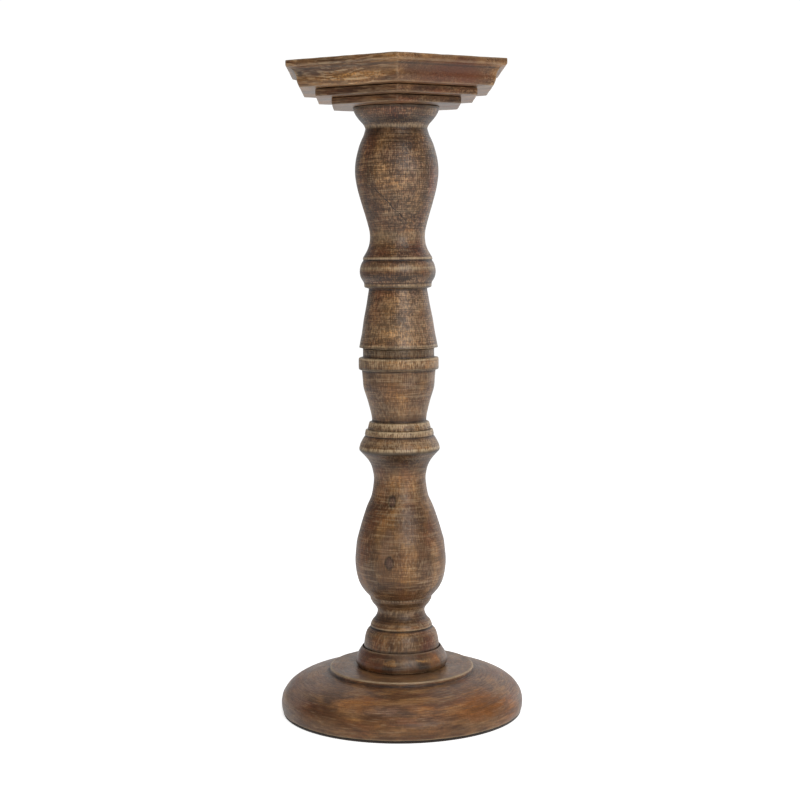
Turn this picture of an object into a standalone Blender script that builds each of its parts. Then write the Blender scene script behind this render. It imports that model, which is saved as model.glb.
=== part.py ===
"""A turned wooden candlestick: a domed round base, two turned spindles and a stepped hexagonal top.

The part stands on its felt pad with its axis on +Z. The origin is the middle of the pad's underside.
A corner of the hexagonal top points to -Y. Outlines are written in millimetres as (radius, height).
"""

import math

import bmesh
import bpy
from mathutils import Matrix, Vector

MM = 0.001
GAP = 0.3
AXIS_X = Vector((1, 0, 0))

# Heights of the joints between the pieces, from the table up
FELT_THICKNESS = 1.4
BASE_BOTTOM = FELT_THICKNESS + GAP
BASE_TOP = 32.6
RING_BOTTOM = BASE_TOP + GAP
RING_RECESS = 44.7
SHOULDER = RING_RECESS + GAP
RING_TOP = 46.9
SPINDLE_JOINT = 260.4
UPPER_BOTTOM = SPINDLE_JOINT + GAP
UPPER_TOP = 428.2
LOWER_PLATE_BOTTOM = UPPER_TOP + GAP
MIDDLE_PLATE_BOTTOM = 433.6
TOP_PLATE_BOTTOM = 439.2
HEIGHT = 457.0

# Radii that more than one piece shares
BASE_RADIUS = 86.6
STEP_RADIUS = 51.6
FELT_RADIUS = 85.6
TENON_RADIUS = 12.0
DOWEL_RADIUS = 8.0
PIN_RADIUS = 3.0
PIN_OFFSET = 17.0

# Corner radii of the hexagonal plates, and the top plate's moulding
LOWER_PLATE_CORNER = 51.2
MIDDLE_PLATE_CORNER = 63.7
TOP_PLATE_FOOT_CORNER = 75.8
COVE_FOOT_CORNER = 77.6
COVE_FOOT_HEIGHT = 443.2
COVE_HEAD_CORNER = 85.2
COVE_HEAD_HEIGHT = 452.2
TOP_CORNER = 86.1
TOP_BAND_BOTTOM = 453.2
PLATE_EASING = 0.4

# Sockets, holes and the coach screw that clamps the base to the lower spindle
SOCKET_FLOOR = 17.0
TENON_BOTTOM = 17.8
COUNTERBORE_RADIUS = 14.5
COUNTERBORE_TOP = 11.0
WASHER_RADIUS = 12.0
WASHER_THICKNESS = 1.6
BOLT_RADIUS = 4.0
BOLT_HEAD_CORNER = 7.5
BOLT_HEAD_THICKNESS = 5.5
BOLT_TIP = 70.0
BOLT_PITCH = 3.6
BOLT_THREAD_DEPTH = 0.8
DOWEL_REACH = 24.0
SCREW_RADIUS = 2.2
SCREW_HEAD_RADIUS = 4.4
SCREW_TIP = 396.0
SCREW_PITCH = 2.2
SCREW_THREAD_DEPTH = 0.5
PIN_BOTTOM = 419.5
PIN_TOP = 447.0

# Turning and roundness
STEM_SEGMENTS = 32
RING_SEGMENTS = 36
BASE_SEGMENTS = 56
PIN_SEGMENTS = 12
CURVE_STEPS = 2
CREASE_ANGLE = math.radians(34)


def clear_scene():
    for old in list(bpy.data.objects):
        bpy.data.objects.remove(old)


def make_material(name, colour, roughness, metallic=0.0):
    material = bpy.data.materials.new(name)
    material.use_nodes = True
    shader = material.node_tree.nodes["Principled BSDF"]
    shader.inputs["Base Color"].default_value = (*colour, 1)
    shader.inputs["Roughness"].default_value = roughness
    shader.inputs["Metallic"].default_value = metallic
    material.diffuse_color = (*colour, 1)
    return material


def curve(*stations, steps=CURVE_STEPS):
    """Points of a smooth curve through the stations: a Catmull-Rom spline with free ends."""
    knots = [Vector(station) for station in stations]
    knots = [2 * knots[0] - knots[1], *knots, 2 * knots[-1] - knots[-2]]
    points = []
    for before, start, end, after in zip(knots, knots[1:], knots[2:], knots[3:]):
        for step in range(steps):
            t = step / steps
            points.append(
                0.5 * (2 * start + (end - before) * t
                       + (2 * before - 5 * start + 4 * end - after) * t ** 2
                       + (3 * start - before - 3 * end + after) * t ** 3)
            )
    return [tuple(point) for point in points] + [tuple(knots[-2])]


def join_up(name, mesh, material):
    """Make the named object of a mesh that is drawn in millimetres."""
    mesh.transform(Matrix.Scale(MM, 4))
    mesh.materials.append(material)
    mesh.shade_smooth()
    mesh.set_sharp_from_angle(angle=CREASE_ANGLE)
    piece = bpy.data.objects.new(name, mesh)
    bpy.context.scene.collection.objects.link(piece)
    return piece


def turned(name, outline, material, segments, closed=True):
    """Turn an outline of (radius, height) points, given upwards along its outer side."""
    points = [Vector((radius, 0, height)) for radius, height in reversed(outline)]
    edges = [(i, i + 1) for i in range(len(points) - 1)]
    if closed:
        edges.append((len(points) - 1, 0))
    mesh = bpy.data.meshes.new(name)
    mesh.from_pydata(points, edges, [])
    piece = join_up(name, mesh, material)
    screw = piece.modifiers.new("turn", "SCREW")
    screw.axis = "Z"
    screw.angle = 2 * math.pi
    screw.steps = segments
    screw.render_steps = segments
    screw.use_merge_vertices = True
    screw.merge_threshold = 0.00001
    screw.use_smooth_shade = True
    return piece


def solid_of_revolution(name, outline, material, segments):
    """Turn an outline that starts and ends on the axis."""
    return turned(name, outline, material, segments, closed=False)


def polygon(corner_radius, height, corners=6, points=6, start=-math.pi / 2):
    """Points evenly spaced by angle around a regular polygon with a corner at the start angle."""
    ring = []
    for k in range(points):
        turn = 2 * math.pi * k / points
        past_corner = turn % (2 * math.pi / corners)
        apothem = corner_radius * math.cos(math.pi / corners)
        radius = apothem / math.cos(past_corner - math.pi / corners)
        angle = start + turn
        ring.append(Vector((radius * math.cos(angle), radius * math.sin(angle), height)))
    return ring


def circle(radius, height, points):
    return [
        Vector((radius * math.cos(angle), radius * math.sin(angle), height))
        for angle in (-math.pi / 2 + 2 * math.pi * k / points for k in range(points))
    ]


def lofted(name, rings, material):
    """A closed solid through rings of equal point counts, listed from the bottom up."""
    bm = bmesh.new()
    loops = [[bm.verts.new(point) for point in ring] for ring in rings]
    bm.faces.new(list(reversed(loops[0])))
    for lower, upper in zip(loops, loops[1:]):
        for k in range(len(lower)):
            after = (k + 1) % len(lower)
            bm.faces.new((lower[k], lower[after], upper[after], upper[k]))
    bm.faces.new(loops[-1])
    mesh = bpy.data.meshes.new(name)
    bm.to_mesh(mesh)
    bm.free()
    return join_up(name, mesh, material)


def drill(piece, radius, bottom, top, offset=0.0):
    """Cut a round hole along Z with an exact Boolean."""
    outline = [(0, bottom), (radius, bottom), (radius, top), (0, top)]
    cutter = solid_of_revolution(f"{piece.name}_drill", outline, piece.data.materials[0], PIN_SEGMENTS)
    cutter.location = AXIS_X * offset * MM
    cutter.hide_render = True
    cutter.display_type = "WIRE"
    cut = piece.modifiers.new("drill", "BOOLEAN")
    cut.operation = "DIFFERENCE"
    cut.solver = "EXACT"
    cut.object = cutter


def thread(crest, depth, pitch, bottom, top):
    """The ridges of a thread as (radius, height) points, from the bottom up."""
    points = []
    ridges = int((top - bottom) / pitch)
    for k in range(ridges):
        points.append((crest - depth, bottom + k * pitch))
        points.append((crest, bottom + (k + 0.5) * pitch))
    return points


def felt_pad(felt):
    edge = 0.3
    outline = [
        (0, 0),
        (FELT_RADIUS - edge, 0),
        (FELT_RADIUS, edge),
        (FELT_RADIUS, FELT_THICKNESS - edge),
        (FELT_RADIUS - edge, FELT_THICKNESS),
        (0, FELT_THICKNESS),
    ]
    solid_of_revolution("felt_pad", outline, felt, BASE_SEGMENTS)


def base_disc(wood):
    """A domed disc with a raised step, a socket above and a counterbore below."""
    hole = BOLT_RADIUS + GAP
    rim = curve((85.8, BASE_BOTTOM), (86.4, 4.2), (BASE_RADIUS, 8.8), (85.6, 13.0))
    dome = curve((85.6, 13.0), (82.8, 17.4), (78.4, 21.2), (72.0, 24.4), (63.0, 27.2), (52.6, 29.2))
    step = [(STEP_RADIUS + 0.1, 29.8), (STEP_RADIUS, BASE_TOP - 0.5), (STEP_RADIUS - 0.5, BASE_TOP)]
    socket = [
        (TENON_RADIUS + GAP, BASE_TOP),
        (TENON_RADIUS + GAP, SOCKET_FLOOR),
        (hole, SOCKET_FLOOR),
        (hole, COUNTERBORE_TOP),
        (COUNTERBORE_RADIUS, COUNTERBORE_TOP),
        (COUNTERBORE_RADIUS, BASE_BOTTOM),
    ]
    turned("base_disc", rim + dome[1:] + step + socket, wood, BASE_SEGMENTS)


def foot_ring(wood):
    """A rounded collar on the base, recessed on top for the spindle's shoulder."""
    side = curve((31.4, RING_BOTTOM), (32.8, 35.7), (32.2, 39.6), (30.4, 43.3), (28.3, RING_TOP - 0.3))
    recess = [
        (27.9, RING_TOP),
        (27.5, RING_TOP - 0.4),
        (27.4, RING_RECESS),
        (TENON_RADIUS + GAP, RING_RECESS),
        (TENON_RADIUS + GAP, RING_BOTTOM),
    ]
    turned("foot_ring", side + recess, wood, RING_SEGMENTS)


def lower_spindle(wood):
    """Tenon, foot, vase, two collars, cup and flange, with a dowel hole in its top."""
    bolt_hole = BOLT_RADIUS + GAP
    dowel_hole = DOWEL_RADIUS + GAP
    tenon = [
        (TENON_RADIUS - 0.6, TENON_BOTTOM),
        (TENON_RADIUS, TENON_BOTTOM + 0.6),
        (TENON_RADIUS, SHOULDER),
    ]
    foot = curve((27.1, SHOULDER), (26.9, 48.6), (26.2, 53.3), (24.7, 58.0), (21.7, 61.0))
    foot_band = curve((22.4, 61.7), (21.7, 63.4), (20.8, 65.3))
    neck = curve((20.8, 65.3), (18.3, 68.2), (16.9, 72.0), (17.7, 75.0), (20.4, 78.3), (21.5, 80.4))
    neck_fillet = [(21.9, 80.7), (22.2, 83.2)]
    belly = curve((22.7, 83.5), (27.2, 88.7), (30.2, 94.5), (32.0, 102.5), (32.45, 111.0), (31.1, 123.5))
    waist = curve(
        (31.1, 123.5), (27.7, 135.8), (23.6, 148.0), (20.4, 155.3), (18.9, 163.5), (18.6, 169.5),
        (20.4, 177.2), (23.8, 182.8), (28.6, 187.9),
    )
    ovolo = curve((28.8, 189.2), (27.9, 192.6), (25.6, 196.9), (24.2, 198.7))
    collars = [(24.7, 199.2), (23.9, 202.9), (22.0, 203.1), (22.5, 203.7), (21.3, 208.3)]
    cup = curve((19.3, 208.8), (19.8, 213.5), (22.5, 224.2), (25.0, 232.2), (25.6, 238.4), (26.2, 245.0))
    flange = [(28.1, 245.4), (28.4, 246.0), (28.4, 253.5), (28.0, 254.0)]
    groove = [(25.3, 254.1), (25.3, SPINDLE_JOINT)]
    dowel_floor = SPINDLE_JOINT - DOWEL_REACH - 1
    dowel_bore = [(dowel_hole, SPINDLE_JOINT), (dowel_hole, dowel_floor), (0, dowel_floor - 3)]
    bolt_bore = [(0, BOLT_TIP + 6), (bolt_hole, BOLT_TIP + 2), (bolt_hole, TENON_BOTTOM)]
    shaft = tenon + foot + foot_band + neck[1:] + neck_fillet + belly + waist[1:] + ovolo + collars
    outline = bolt_bore + shaft + cup + flange + groove + dowel_bore
    turned("lower_spindle", outline, wood, STEM_SEGMENTS, closed=False)


def upper_spindle(wood):
    """Cone, bead, baluster and flared head, with a dowel hole in its foot."""
    dowel_hole = DOWEL_RADIUS + GAP
    hole_top = UPPER_BOTTOM + DOWEL_REACH + 1
    socket = [(0, hole_top + 3), (dowel_hole, hole_top), (dowel_hole, UPPER_BOTTOM)]
    cone = curve((27.8, 262.0), (26.5, 268.6), (25.4, 274.8), (24.5, 281.0), (22.8, 289.4), (20.6, 302.4))
    bead_fillet = [(23.6, 303.2), (23.9, 303.7), (23.9, 306.2)]
    bead = curve((24.3, 307.0), (26.2, 310.3), (26.9, 314.3), (26.4, 317.9), (25.4, 320.7), (24.2, 322.3))
    arris = [(24.7, 323.2)]
    waist = curve((24.6, 324.0), (22.2, 328.0), (20.4, 332.0), (19.45, 337.4), (19.9, 343.6), (22.5, 353.4))
    baluster = curve(
        (22.5, 353.4), (26.7, 367.6), (28.8, 377.5), (29.35, 385.0), (28.5, 393.2), (25.9, 402.8),
        (23.2, 408.9), (21.8, 413.3),
    )
    flare = curve((21.8, 414.1), (23.1, 416.6), (26.6, 420.6), (29.3, 424.7), (30.4, UPPER_TOP))
    heel = [(27.8, UPPER_BOTTOM), (28.1, UPPER_BOTTOM + 0.4)]
    foot = socket + heel + cone
    middle = bead_fillet + bead + arris + waist + baluster[1:]
    outline = foot + middle + flare + [(0, UPPER_TOP)]
    piece = turned("upper_spindle", outline, wood, STEM_SEGMENTS, closed=False)
    drill(piece, SCREW_RADIUS + GAP, SCREW_TIP - 2, UPPER_TOP + 1)
    for offset in (-PIN_OFFSET, PIN_OFFSET):
        drill(piece, PIN_RADIUS + GAP, PIN_BOTTOM - 1, UPPER_TOP + 1, offset)


def hexagonal_plate(name, corner, bottom, top, wood):
    """A thin plate with eased edges."""
    rings = [
        polygon(corner - PLATE_EASING, bottom),
        polygon(corner, bottom + PLATE_EASING),
        polygon(corner, top - PLATE_EASING),
        polygon(corner - PLATE_EASING, top),
    ]
    piece = lofted(name, rings, wood)
    for offset in (-PIN_OFFSET, PIN_OFFSET):
        drill(piece, PIN_RADIUS + GAP, bottom - 1, top + 1, offset)
    return piece


def hex_plate_lower(wood):
    top = MIDDLE_PLATE_BOTTOM - GAP
    piece = hexagonal_plate("hex_plate_lower", LOWER_PLATE_CORNER, LOWER_PLATE_BOTTOM, top, wood)
    drill(piece, SCREW_RADIUS + GAP, LOWER_PLATE_BOTTOM - 1, top + 1)


def hex_plate_middle(wood):
    top = TOP_PLATE_BOTTOM - GAP
    piece = hexagonal_plate("hex_plate_middle", MIDDLE_PLATE_CORNER, MIDDLE_PLATE_BOTTOM, top, wood)
    drill(piece, SCREW_HEAD_RADIUS + GAP, MIDDLE_PLATE_BOTTOM - 1, top + 1)


def hex_top_plate(wood):
    """The moulded top: a short splayed foot, a cove that sweeps outwards, and a flat band."""
    rings = [
        polygon(TOP_PLATE_FOOT_CORNER, TOP_PLATE_BOTTOM),
        polygon(COVE_FOOT_CORNER, COVE_FOOT_HEIGHT),
    ]
    reach = COVE_HEAD_CORNER - COVE_FOOT_CORNER
    rise = COVE_HEAD_HEIGHT - COVE_FOOT_HEIGHT
    cove_steps = 7
    for step in range(1, cove_steps + 1):
        angle = math.pi / 2 * step / cove_steps
        corner = COVE_FOOT_CORNER + reach * (1 - math.cos(angle))
        rings.append(polygon(corner, COVE_FOOT_HEIGHT + rise * math.sin(angle)))
    rings += [
        polygon(TOP_CORNER, TOP_BAND_BOTTOM),
        polygon(TOP_CORNER, HEIGHT - PLATE_EASING),
        polygon(TOP_CORNER - PLATE_EASING, HEIGHT),
    ]
    piece = lofted("hex_top_plate", rings, wood)
    for offset in (-PIN_OFFSET, PIN_OFFSET):
        drill(piece, PIN_RADIUS + GAP, TOP_PLATE_BOTTOM - 1, PIN_TOP + 1, offset)


def base_screw(steel):
    """A coach screw up through the base and the tenon into the lower spindle."""
    washer_bottom = COUNTERBORE_TOP - GAP - WASHER_THICKNESS
    head_top = washer_bottom - GAP
    head_bottom = head_top - BOLT_HEAD_THICKNESS
    ease = 0.6
    points = 18
    root = BOLT_RADIUS - BOLT_THREAD_DEPTH
    rings = [
        circle(BOLT_HEAD_CORNER - 1.6, head_bottom, points),
        polygon(BOLT_HEAD_CORNER, head_bottom + ease, points=points),
        polygon(BOLT_HEAD_CORNER, head_top, points=points),
        circle(BOLT_RADIUS, head_top, points),
        circle(BOLT_RADIUS, BASE_TOP - 1, points),
    ]
    for radius, height in thread(BOLT_RADIUS, BOLT_THREAD_DEPTH, BOLT_PITCH, BASE_TOP, BOLT_TIP - 3):
        rings.append(circle(radius, height, points))
    rings += [circle(root, BOLT_TIP - 3, points), circle(0.6, BOLT_TIP, points)]
    lofted("base_screw", rings, steel)


def base_washer(steel):
    top = COUNTERBORE_TOP - GAP
    bottom = top - WASHER_THICKNESS
    hole = BOLT_RADIUS + GAP
    outline = [(WASHER_RADIUS, bottom), (WASHER_RADIUS, top), (hole, top), (hole, bottom)]
    turned("base_washer", outline, steel, STEM_SEGMENTS)


def round_peg(name, radius, bottom, top, wood, segments, offset=0.0):
    """A wooden peg with chamfered ends."""
    chamfer = 0.15 * radius
    outline = [
        (0, bottom),
        (radius - chamfer, bottom),
        (radius, bottom + chamfer),
        (radius, top - chamfer),
        (radius - chamfer, top),
        (0, top),
    ]
    piece = solid_of_revolution(name, outline, wood, segments)
    piece.location = AXIS_X * offset * MM


def top_screw(steel):
    """A countersunk screw down through the thin plates into the upper spindle."""
    head_top = TOP_PLATE_BOTTOM - GAP - 0.3
    cone_bottom = head_top - SCREW_HEAD_RADIUS + SCREW_RADIUS
    ridges = thread(SCREW_RADIUS, SCREW_THREAD_DEPTH, SCREW_PITCH, SCREW_TIP + 4, UPPER_TOP)
    outline = [
        (0, SCREW_TIP),
        *ridges,
        (SCREW_RADIUS, UPPER_TOP),
        (SCREW_RADIUS, cone_bottom),
        (SCREW_HEAD_RADIUS, head_top - 0.3),
        (SCREW_HEAD_RADIUS, head_top),
        (0.8, head_top),
        (0, head_top - 1.8),
    ]
    solid_of_revolution("top_screw", outline, steel, PIN_SEGMENTS)


def main():
    clear_scene()
    stem_wood = make_material("antique_stained_stem", (0.16, 0.093, 0.05), 0.52)
    plate_wood = make_material("antique_stained_boards", (0.18, 0.096, 0.046), 0.5)
    dowel_wood = make_material("plain_dowel_wood", (0.55, 0.4, 0.24), 0.7)
    felt = make_material("dark_felt", (0.03, 0.026, 0.022), 0.95)
    steel = make_material("zinc_steel", (0.62, 0.62, 0.6), 0.35, 1.0)
    felt_pad(felt)
    base_disc(plate_wood)
    base_washer(steel)
    base_screw(steel)
    foot_ring(stem_wood)
    lower_spindle(stem_wood)
    dowel_bottom = SPINDLE_JOINT - DOWEL_REACH
    dowel_top = UPPER_BOTTOM + DOWEL_REACH
    round_peg("spindle_dowel", DOWEL_RADIUS, dowel_bottom, dowel_top, dowel_wood, STEM_SEGMENTS)
    upper_spindle(stem_wood)
    hex_plate_lower(plate_wood)
    hex_plate_middle(plate_wood)
    hex_top_plate(plate_wood)
    top_screw(steel)
    round_peg("top_pin_left", PIN_RADIUS, PIN_BOTTOM, PIN_TOP, dowel_wood, PIN_SEGMENTS, -PIN_OFFSET)
    round_peg("top_pin_right", PIN_RADIUS, PIN_BOTTOM, PIN_TOP, dowel_wood, PIN_SEGMENTS, PIN_OFFSET)


main()
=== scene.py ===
"""The looks of the turned wooden candlestick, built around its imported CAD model.

Lengths are in metres, in the frame of the CAD model: the axis is +Z, the felt pad rests at height 0,
and a corner of the hexagonal top points to -Y, which is where the camera stands.
"""
import math
from types import SimpleNamespace

import bmesh
import bpy
import numpy as np
from mathutils import Matrix, Vector, noise


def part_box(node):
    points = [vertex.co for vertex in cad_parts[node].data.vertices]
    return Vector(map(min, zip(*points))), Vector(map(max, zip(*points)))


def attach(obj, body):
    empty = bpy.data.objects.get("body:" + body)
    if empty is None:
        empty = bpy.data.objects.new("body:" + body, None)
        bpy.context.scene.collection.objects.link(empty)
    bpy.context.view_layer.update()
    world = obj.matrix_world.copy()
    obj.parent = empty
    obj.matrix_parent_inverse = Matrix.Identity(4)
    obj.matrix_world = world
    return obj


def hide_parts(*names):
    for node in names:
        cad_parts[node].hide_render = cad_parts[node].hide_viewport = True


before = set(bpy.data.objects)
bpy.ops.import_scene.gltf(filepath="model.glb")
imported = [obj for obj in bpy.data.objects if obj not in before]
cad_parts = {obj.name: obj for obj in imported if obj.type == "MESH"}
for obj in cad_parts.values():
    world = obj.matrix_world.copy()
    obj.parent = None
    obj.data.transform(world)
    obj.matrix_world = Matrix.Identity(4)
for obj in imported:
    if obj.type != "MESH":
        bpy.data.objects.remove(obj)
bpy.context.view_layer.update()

MM = 0.001
TOUCH = 0.00002
UP = Vector((0, 0, 1))
TO_CAMERA = Vector((0, -1, 0))
TO_BACK = Vector((0, 1, 0))
ON_AXIS = Vector((0, 0, 0))

# Camera: where it stands, and how it looks at the stand
CAMERA_DISTANCE = 1.153
CAMERA_HEIGHT = 0.331
CAMERA_AZIMUTH = math.radians(-0.6)
CAMERA_PAN = math.radians(0.034)
CAMERA_PITCH = math.radians(5.332)
CAMERA_ROLL = math.radians(-0.57)
CAMERA_LENS_MM = 73.47
SENSOR_MM = 36.0

# Fineness of the meshes
STEM_SEGMENTS = 136
RING_SEGMENTS = 160
BASE_SEGMENTS = 320
SMALL_SEGMENTS = 36
SIDE_POINTS = 56
FINE_STEP = 0.12 * MM
ROW_STEP = 0.85 * MM
HIDDEN_STEP = 4.0 * MM
CORNER_STEP = 0.2 * MM
ROW_TURN = 0.22
CORNER_TURN = math.radians(26)
SMOOTH_ANGLE = math.radians(48)

# How the wood was worked and rubbed, and how far the painted shade of broad recesses reaches
EDGE_SOFTNESS = 0.28 * MM
WEAR_REACH = 1.1 * MM
SHADE_REACH = 4.0 * MM
FULLY_WORN = 0.30 * MM
FULLY_SHADED = 2.4 * MM
WEAR_DEPTH = 0.22 * MM
SKIN_CUT = 0.09 * MM
STEM_SKIN = 14 * MM
BASE_SKIN = 20 * MM
MITRE_ROUNDING = 0.7 * MM
MITRE_WEAR = 1.6 * MM

# Bores in the pieces, as in the CAD model
PIN_OFFSET = 17 * MM
PIN_HOLE = 3.3 * MM
PIN_FLOOR = 418.5 * MM
PIN_CEILING = 448 * MM
SCREW_HOLE = 2.5 * MM
SCREW_FLOOR = 394 * MM
SCREW_HEAD_HOLE = 4.7 * MM
THROUGH = (0.0, 1.0)


# ---------------------------------------------------------------- outlines


def outline_of(node, direction, centre=ON_AXIS):
    """The (radius, height) points where a CAD node meets the half plane along direction, as one walk.

    The walk starts at its lowest end, on the axis or in a bore, and goes up the outer side."""
    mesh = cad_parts[node].data
    across = direction.cross(UP)
    place = {}
    for vertex in mesh.vertices:
        arm = vertex.co - centre
        radius = arm.dot(direction)
        if abs(arm.dot(across)) < TOUCH and radius > -TOUCH:
            place[vertex.index] = (round(max(radius, 0.0), 6), round(vertex.co.z, 6))
    links = {}
    for edge in mesh.edges:
        a, b = (place.get(i) for i in edge.vertices)
        if a and b and a != b:
            links.setdefault(a, set()).add(b)
            links.setdefault(b, set()).add(a)
    ends = [point for point, near in links.items() if len(near) == 1]
    if ends:
        start = min(ends, key=lambda point: (point[1], -point[0]))
        walk = [start, next(iter(links[start]))]
    else:
        start = min(links, key=lambda point: (point[1], point[0]))
        walk = [start, max(links[start])]
    while True:
        onward = [point for point in links[walk[-1]] if point != walk[-2]]
        if not onward or onward[0] == start:
            break
        walk.append(onward[0])
    return np.array(walk)


def solid_outline(node, centre=ON_AXIS):
    """The outline of a solid with flat ends, taken in to the axis at both ends."""
    walk = outline_of(node, TO_BACK, centre)
    ends = [(0.0, walk[0][1])], [(0.0, walk[-1][1])]
    return np.vstack([ends[0] if walk[0][0] else walk[:0], walk, ends[1] if walk[-1][0] else walk[:0]])


def spline(knots, step):
    """A centripetal Catmull-Rom curve through the knots; two knots give a straight line."""
    knots = np.vstack([2 * knots[0] - knots[1], knots, 2 * knots[-1] - knots[-2]])
    points = []
    for p0, p1, p2, p3 in zip(knots, knots[1:], knots[2:], knots[3:]):
        t1 = math.sqrt(np.linalg.norm(p1 - p0))
        t2 = t1 + math.sqrt(np.linalg.norm(p2 - p1))
        t3 = t2 + math.sqrt(np.linalg.norm(p3 - p2))
        count = max(1, round(np.linalg.norm(p2 - p1) / step))
        t = np.linspace(t1, t2, count, endpoint=False)[:, None]
        a1 = (t1 - t) / t1 * p0 + t / t1 * p1
        a2 = (t2 - t) / (t2 - t1) * p1 + (t - t1) / (t2 - t1) * p2
        a3 = (t3 - t) / (t3 - t2) * p2 + (t - t2) / (t3 - t2) * p3
        b1 = (t2 - t) / t2 * a1 + t / t2 * a2
        b2 = (t3 - t) / (t3 - t1) * a2 + (t - t1) / (t3 - t1) * a3
        points.append((t2 - t) / (t2 - t1) * b1 + (t - t1) / (t2 - t1) * b2)
    return np.vstack([*points, knots[-2:-1]])


def resampled(points, step):
    """Points spaced evenly by step; stretches between corners are smoothed, and the corners stay."""
    legs = np.diff(points, axis=0)
    headings = np.unwrap(np.arctan2(legs[:, 1], legs[:, 0]))
    turns = np.abs(np.diff(headings))
    corners = [0, *(np.nonzero(turns > CORNER_TURN)[0] + 1), len(points) - 1]
    fine = [spline(points[first:last + 1], step)[:-1] for first, last in zip(corners, corners[1:])]
    return np.vstack([*fine, points[-1:]])


def blurred(points, reach, closed):
    """The line smoothed by a Gaussian of that reach, its ends held."""
    half = int(3 * reach / FINE_STEP)
    weights = np.exp(-0.5 * (np.arange(-half, half + 1) * FINE_STEP / reach) ** 2)
    weights /= weights.sum()
    if closed:
        padded = np.vstack([points[-half - 1:-1], points, points[1:half + 1]])
    else:
        before = 2 * points[0] - points[half:0:-1]
        after = 2 * points[-1] - points[-2:-half - 2:-1]
        padded = np.vstack([before, points, after])
    return np.column_stack([np.convolve(padded[:, k], weights, "valid") for k in (0, 1)])


class Profile:
    """A softened outline with, at each row, its normal, how much the surface is worn or hollow, and how
    deep it lies in a broad recess for painted shade.
    """

    def __init__(self, walk, closed=False, skin=0.0, row_step=ROW_STEP, softness=EDGE_SOFTNESS):
        if closed:
            walk = np.vstack([walk, walk[:1]])
        fine = resampled(walk, FINE_STEP)
        soft = blurred(fine, softness, closed)
        tangent = np.gradient(soft, axis=0)
        tangent /= np.maximum(np.linalg.norm(tangent, axis=1), 1e-12)[:, None]
        normal = np.column_stack([tangent[:, 1], -tangent[:, 0]])
        near = ((soft - blurred(fine, WEAR_REACH, closed)) * normal).sum(1)
        wide = ((soft - blurred(fine, SHADE_REACH, closed)) * normal).sum(1)
        turn = np.abs(np.gradient(np.unwrap(np.arctan2(tangent[:, 1], tangent[:, 0]))))
        keep = self.rows(turn, np.where(soft[:, 0] < skin, HIDDEN_STEP, row_step))
        self.points = soft[keep]
        self.normals = normal[keep]
        self.worn = np.clip(near[keep] / FULLY_WORN, 0, 1)
        self.hollow = np.clip(-near[keep] / FULLY_WORN, 0, 1)
        self.shade = np.clip(0.5 - wide[keep] / FULLY_SHADED, 0, 1)
        self.closed = closed
        self.skin = skin

    @staticmethod
    def rows(turn, row_steps):
        """Indices of the fine points kept as rows: far apart on gentle stretches, close on corners."""
        keep = [0]
        travelled = turned = 0.0
        for i in range(1, len(turn) - 1):
            travelled += FINE_STEP
            turned += turn[i]
            if travelled >= row_steps[i] or (turned > ROW_TURN and travelled >= CORNER_STEP):
                keep.append(i)
                travelled = turned = 0.0
        return [*keep, len(turn) - 1]


# ---------------------------------------------------------------- cross sections


def around(angle):
    """The direction at an angle around the axis, starting at the camera and going anticlockwise."""
    return Vector((math.sin(angle), -math.cos(angle), 0))


def round_section(segments, flutes=0, flute_depth=0.0):
    """Points around a circle of any radius, each with its outward direction and how much it is an edge."""
    spokes = []
    for k in range(segments):
        angle = 2 * math.pi * k / segments
        dip = flute_depth * max(0.0, math.cos(flutes * angle)) ** 4 if flutes else 0.0
        spokes.append((around(angle), dip))

    def section(radius):
        return [(spoke * (radius - dip), spoke, 0.0) for spoke, dip in spokes]

    return section


def hexagon_section(side_points):
    """Points around a hexagon of any corner radius, with slightly rounded mitres."""

    def section(corner):
        rounding = min(MITRE_ROUNDING, 0.3 * corner)
        pivot = corner - rounding / math.cos(math.pi / 6)
        places = []
        for k in range(6):
            middle = k * math.pi / 3
            for turn in (-30, -15, 0, 15, 30):
                outward = around(middle + math.radians(turn))
                places.append((around(middle) * pivot + outward * rounding, outward, 1.0))
            start = places[-1][0]
            outward = around(middle + math.pi / 6)
            end = around(middle + math.pi / 3) * pivot + outward * rounding
            for step in range(1, side_points):
                place = start.lerp(end, step / side_points)
                reach = min((place - start).length, (place - end).length)
                places.append((place, outward, max(0.0, 1 - reach / MITRE_WEAR)))
        return places

    return section


# ---------------------------------------------------------------- meshes


def ripple(place, scale, seed):
    """A smooth random value from -1 to 1 at a place."""
    return noise.noise(place * scale + Vector((seed, 2.7 * seed, -1.3 * seed)))


def surface_offset(place, worn, seed, tool_marks):
    """How far a worked surface stands off its ideal shape: out of true, tool rings and rubbed edges."""
    rings = noise.noise(Vector((seed, 0.0, place.z * 620))) * tool_marks
    bulge = ripple(place, 22, seed) * 0.12 * MM
    rub = max(0.0, 0.35 + ripple(place, 140, seed)) * worn * WEAR_DEPTH
    dents = max(0.0, ripple(place, 75, seed + 5) - 0.5) * 0.5 * MM
    return rings + bulge - rub - dents - SKIN_CUT


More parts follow.
